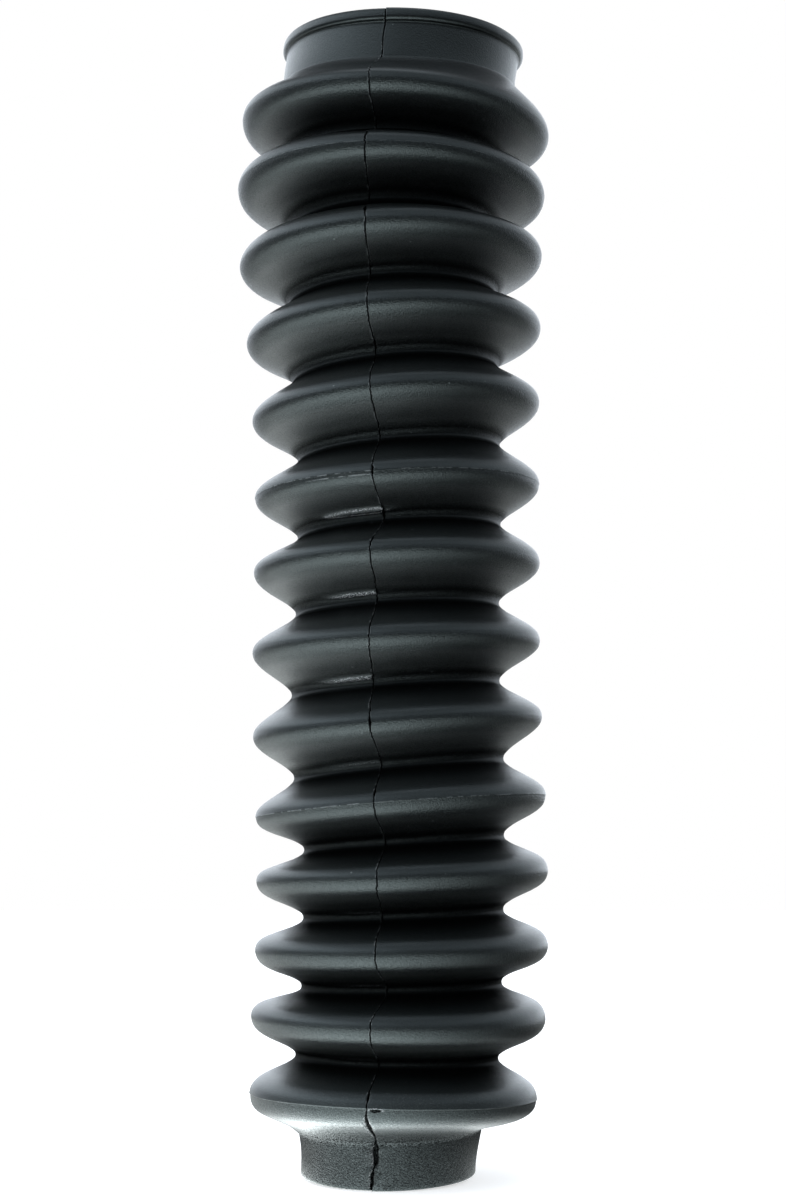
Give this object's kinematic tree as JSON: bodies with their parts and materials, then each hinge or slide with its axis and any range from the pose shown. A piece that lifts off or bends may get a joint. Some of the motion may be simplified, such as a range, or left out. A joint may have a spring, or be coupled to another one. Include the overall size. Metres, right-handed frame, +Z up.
{
  "type": "rubber bellows boot",
  "caption": "Folded rubber sleeve with a narrow cuff at one end and a beaded collar at the other, a dust cover for a sliding tube such as a fork leg.",
  "frame": {"origin": "middle of the cuff's mouth, on the surface that the boot stands on", "axes": "+Z up the boot's axis from the cuff to the collar; the boot is a body of revolution about it"},
  "size_m": [0.0756, 0.0756, 0.2714],
  "materials": {
    "rubber": "black moulded rubber, fine matt grain with a soft sheen"
  },
  "bodies": {
    "root": {"bellows_boot": "rubber"}
  },
  "joints": []
}
